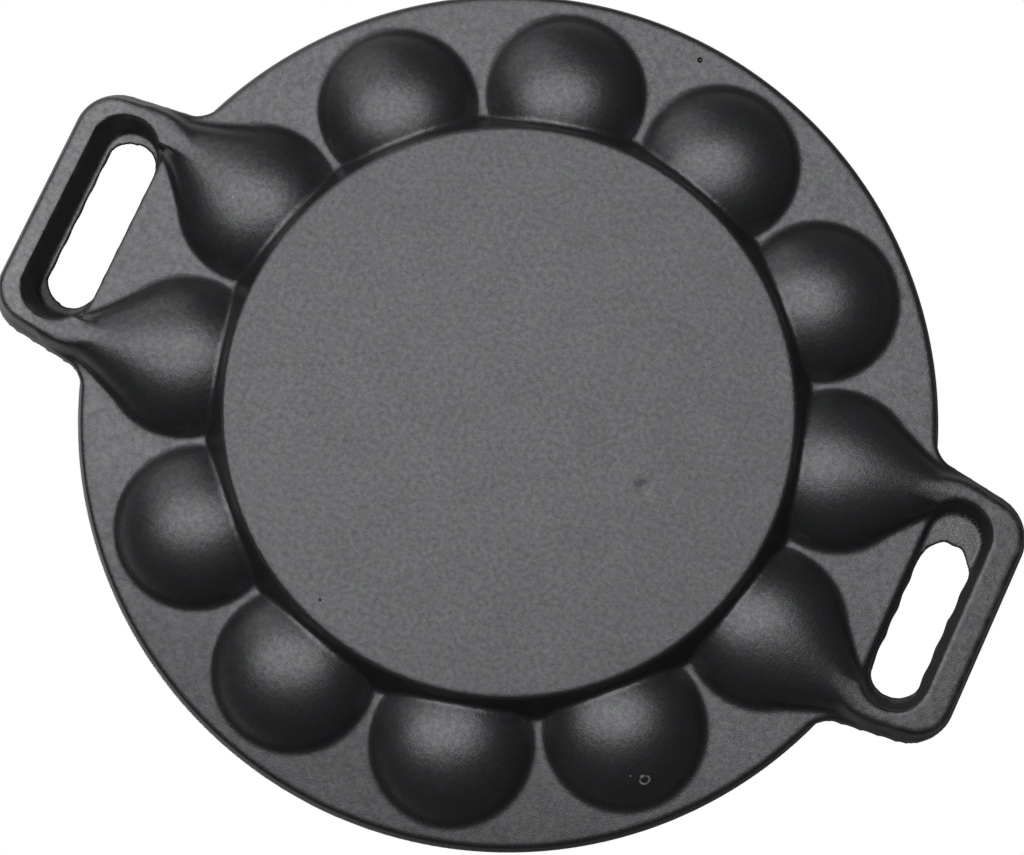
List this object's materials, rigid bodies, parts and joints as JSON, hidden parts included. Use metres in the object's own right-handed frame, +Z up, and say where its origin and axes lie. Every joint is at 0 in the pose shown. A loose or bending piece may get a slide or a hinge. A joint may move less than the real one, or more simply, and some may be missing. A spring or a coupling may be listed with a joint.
{
  "type": "griddle pan",
  "caption": "Round cast iron griddle pan with a wide central well, a ring of round cups about it and two slotted loop handles.",
  "frame": {"origin": "centre of the flat underside of the well, on which the pan rests", "axes": "+Z up out of the cooking side; +X along the line of the two loop handles; +Y across them"},
  "size_m": [0.3874, 0.3198, 0.026],
  "materials": {
    "cast_iron": "seasoned sand-cast iron, fine-grained and matt"
  },
  "bodies": {
    "root": {"pan_casting": "cast_iron"}
  },
  "joints": []
}
